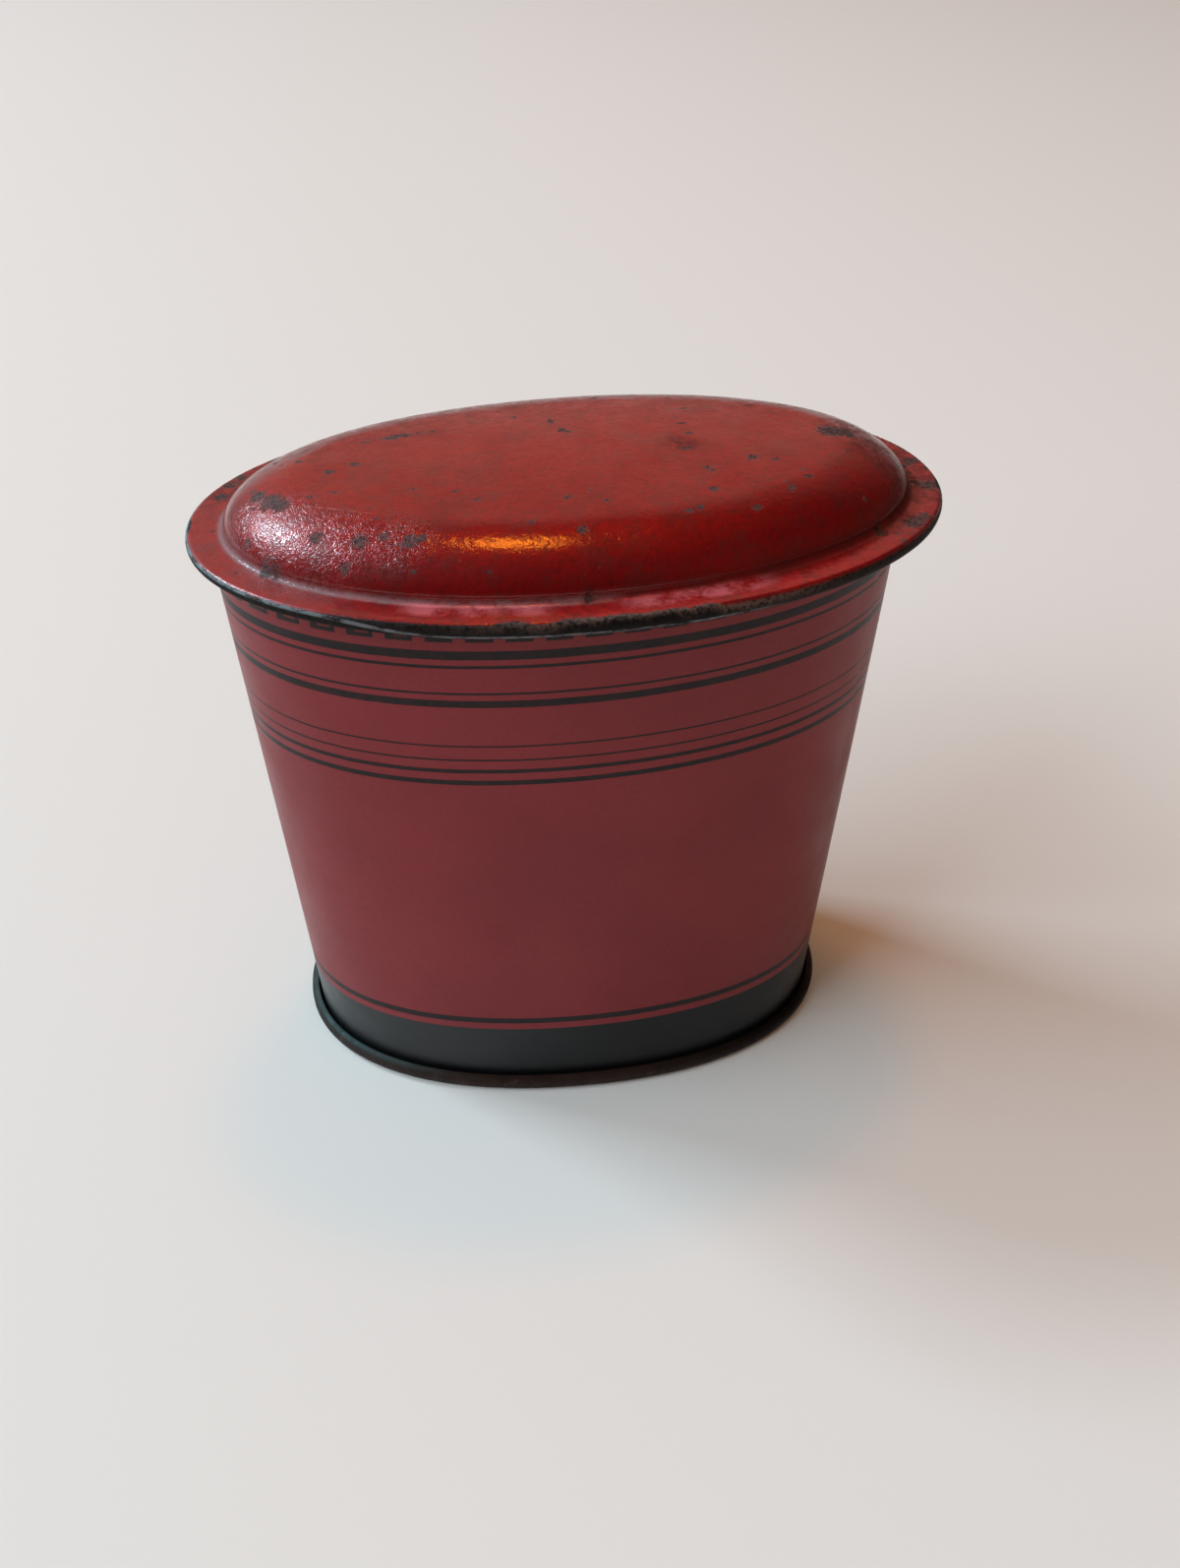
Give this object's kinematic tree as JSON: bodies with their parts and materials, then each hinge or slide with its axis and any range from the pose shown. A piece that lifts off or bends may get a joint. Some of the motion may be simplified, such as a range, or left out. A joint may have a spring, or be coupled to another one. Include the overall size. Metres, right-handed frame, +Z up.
{
  "type": "money box",
  "caption": "Oval tinplate money box with a folded rim, shallow domed lid, coin slot at the back and a hinged trap with a turning latch in its recessed base.",
  "frame": {"origin": "on the surface that the box stands on, under the middle of its outline", "axes": "+X along the long axis, +Z up; the coin slot faces +Y and the plain front faces -Y"},
  "size_m": [0.114, 0.07, 0.1036],
  "materials": {
    "body": "satin maroon print on tinplate with black bands",
    "lid": "glossy red varnish on tinplate, worn at the edges",
    "foot": "satin black varnish on tinplate",
    "trap": "satin black varnish on tinplate",
    "hinge": "plain tinned steel",
    "rivets": "plain steel",
    "plug": "dull brass",
    "latch": "plain steel"
  },
  "bodies": {
    "case": {"body_shell": "body", "domed_lid": "lid", "base_pan": "foot", "hinge_leaf": "hinge", "hinge_pin": "hinge", "hinge_rivet_1": "rivets", "hinge_rivet_2": "rivets"},
    "trap": {"trap_door": "trap"},
    "latch": {"key_plug": "plug", "latch_tongue": "latch", "latch_washer": "latch"}
  },
  "joints": [
    {"name": "trap_hinge", "type": "hinge", "parent": "case", "child": "trap", "pos_m": [-0.02465, 0, 0.00385], "axis": [0, 1, 0], "range_deg": [0, 110]},
    {"name": "latch_turn", "type": "hinge", "parent": "trap", "child": "latch", "pos_m": [0.013, 0, 0.0049], "axis": [0, 0, 1], "range_deg": [0, 90]}
  ]
}
